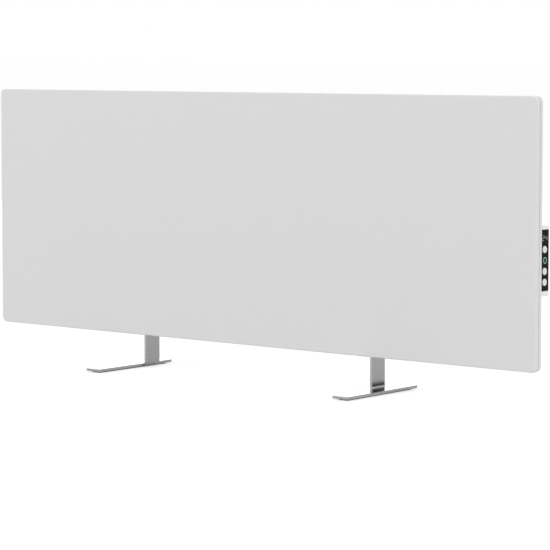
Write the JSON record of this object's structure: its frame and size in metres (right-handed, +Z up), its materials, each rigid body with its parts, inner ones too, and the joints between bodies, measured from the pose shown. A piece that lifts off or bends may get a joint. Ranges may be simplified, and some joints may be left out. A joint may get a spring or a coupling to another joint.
{
  "type": "panel heater",
  "caption": "Slim free-standing electric panel heater with a flat white face, bent chrome feet and a push-button control box on the right end.",
  "frame": {"origin": "on the floor, midway between the two feet and midway along them", "axes": "+X along the panel towards the control box, +Y to the back, +Z up; the heated face looks to -Y"},
  "size_m": [1, 0.159, 0.417],
  "materials": {
    "white_coat": "smooth white powder coat",
    "seam_grey": "matte dark grey silicone",
    "chrome": "polished chrome plate",
    "pad_silicone": "dark grey silicone",
    "black_rubber": "matte rubber",
    "zinc_steel": "zinc plated",
    "heating_film": "carbon film laminate",
    "copper": "bare metal",
    "reflector_foil": "foil",
    "insulation": "needled fibre mat",
    "dark_plastic": "moulded",
    "lead_sleeve": "silicone sleeve",
    "white_plastic": "fine satin moulding",
    "black_gloss": "gloss",
    "button_white": "satin gloss",
    "ring_green": "lit translucent ring",
    "board_green": "solder mask",
    "transformer_tape": "wrapped tape",
    "grey_plastic": "moulded nylon"
  },
  "bodies": {
    "heater": {"front_panel": "white_coat", "rear_shell": "white_coat", "foot_bracket_left": "white_coat", "foot_bracket_right": "white_coat", "edge_seal": "seam_grey", "foot_left": "chrome", "foot_right": "chrome", "foot_pad_left": "pad_silicone", "foot_pad_right": "pad_silicone", "lead_grommet": "black_rubber", "shell_spacers": "zinc_steel", "shell_screws": "zinc_steel", "wall_inserts": "zinc_steel", "bracket_inserts": "zinc_steel", "bracket_screws": "zinc_steel", "foot_screws": "zinc_steel", "foot_nuts": "zinc_steel", "base_screws": "zinc_steel", "cover_screws": "zinc_steel", "board_screws": "zinc_steel", "heating_foil": "heating_film", "bus_strips": "copper", "foil_terminals": "copper", "reflector_sheet": "reflector_foil", "insulation_mat": "insulation", "thermal_cutout": "dark_plastic", "relay": "dark_plastic", "terminal_block": "dark_plastic", "tip_over_switch": "dark_plastic", "link_header": "dark_plastic", "room_sensor": "dark_plastic", "tact_switches": "dark_plastic", "display_module": "dark_plastic", "capacitor": "dark_plastic", "heater_leads": "lead_sleeve", "control_base": "white_plastic", "control_cover": "white_plastic", "fascia": "black_gloss", "display_board": "board_green", "power_board": "board_green", "radio_module": "board_green", "transformer": "transformer_tape", "cable_gland": "grey_plastic", "gland_nut": "grey_plastic"},
    "mode_button": {"mode_button": "button_white", "mode_plunger": "dark_plastic"},
    "power_button": {"power_button": "black_gloss", "power_plunger": "dark_plastic", "power_ring": "ring_green"},
    "plus_button": {"plus_button": "button_white", "plus_plunger": "dark_plastic"},
    "minus_button": {"minus_button": "button_white", "minus_plunger": "dark_plastic"}
  },
  "joints": [
    {"name": "mode_press", "type": "slide", "parent": "heater", "child": "mode_button", "axis": [-1, 0, 0], "range_m": [0, 0.0007], "stiffness_N_per_m": 2000, "springref_m": -0.0003},
    {"name": "power_press", "type": "slide", "parent": "heater", "child": "power_button", "axis": [-1, 0, 0], "range_m": [0, 0.0007], "stiffness_N_per_m": 2000, "springref_m": -0.0003},
    {"name": "plus_press", "type": "slide", "parent": "heater", "child": "plus_button", "axis": [-1, 0, 0], "range_m": [0, 0.0007], "stiffness_N_per_m": 2000, "springref_m": -0.0003},
    {"name": "minus_press", "type": "slide", "parent": "heater", "child": "minus_button", "axis": [-1, 0, 0], "range_m": [0, 0.0007], "stiffness_N_per_m": 2000, "springref_m": -0.0003}
  ]
}
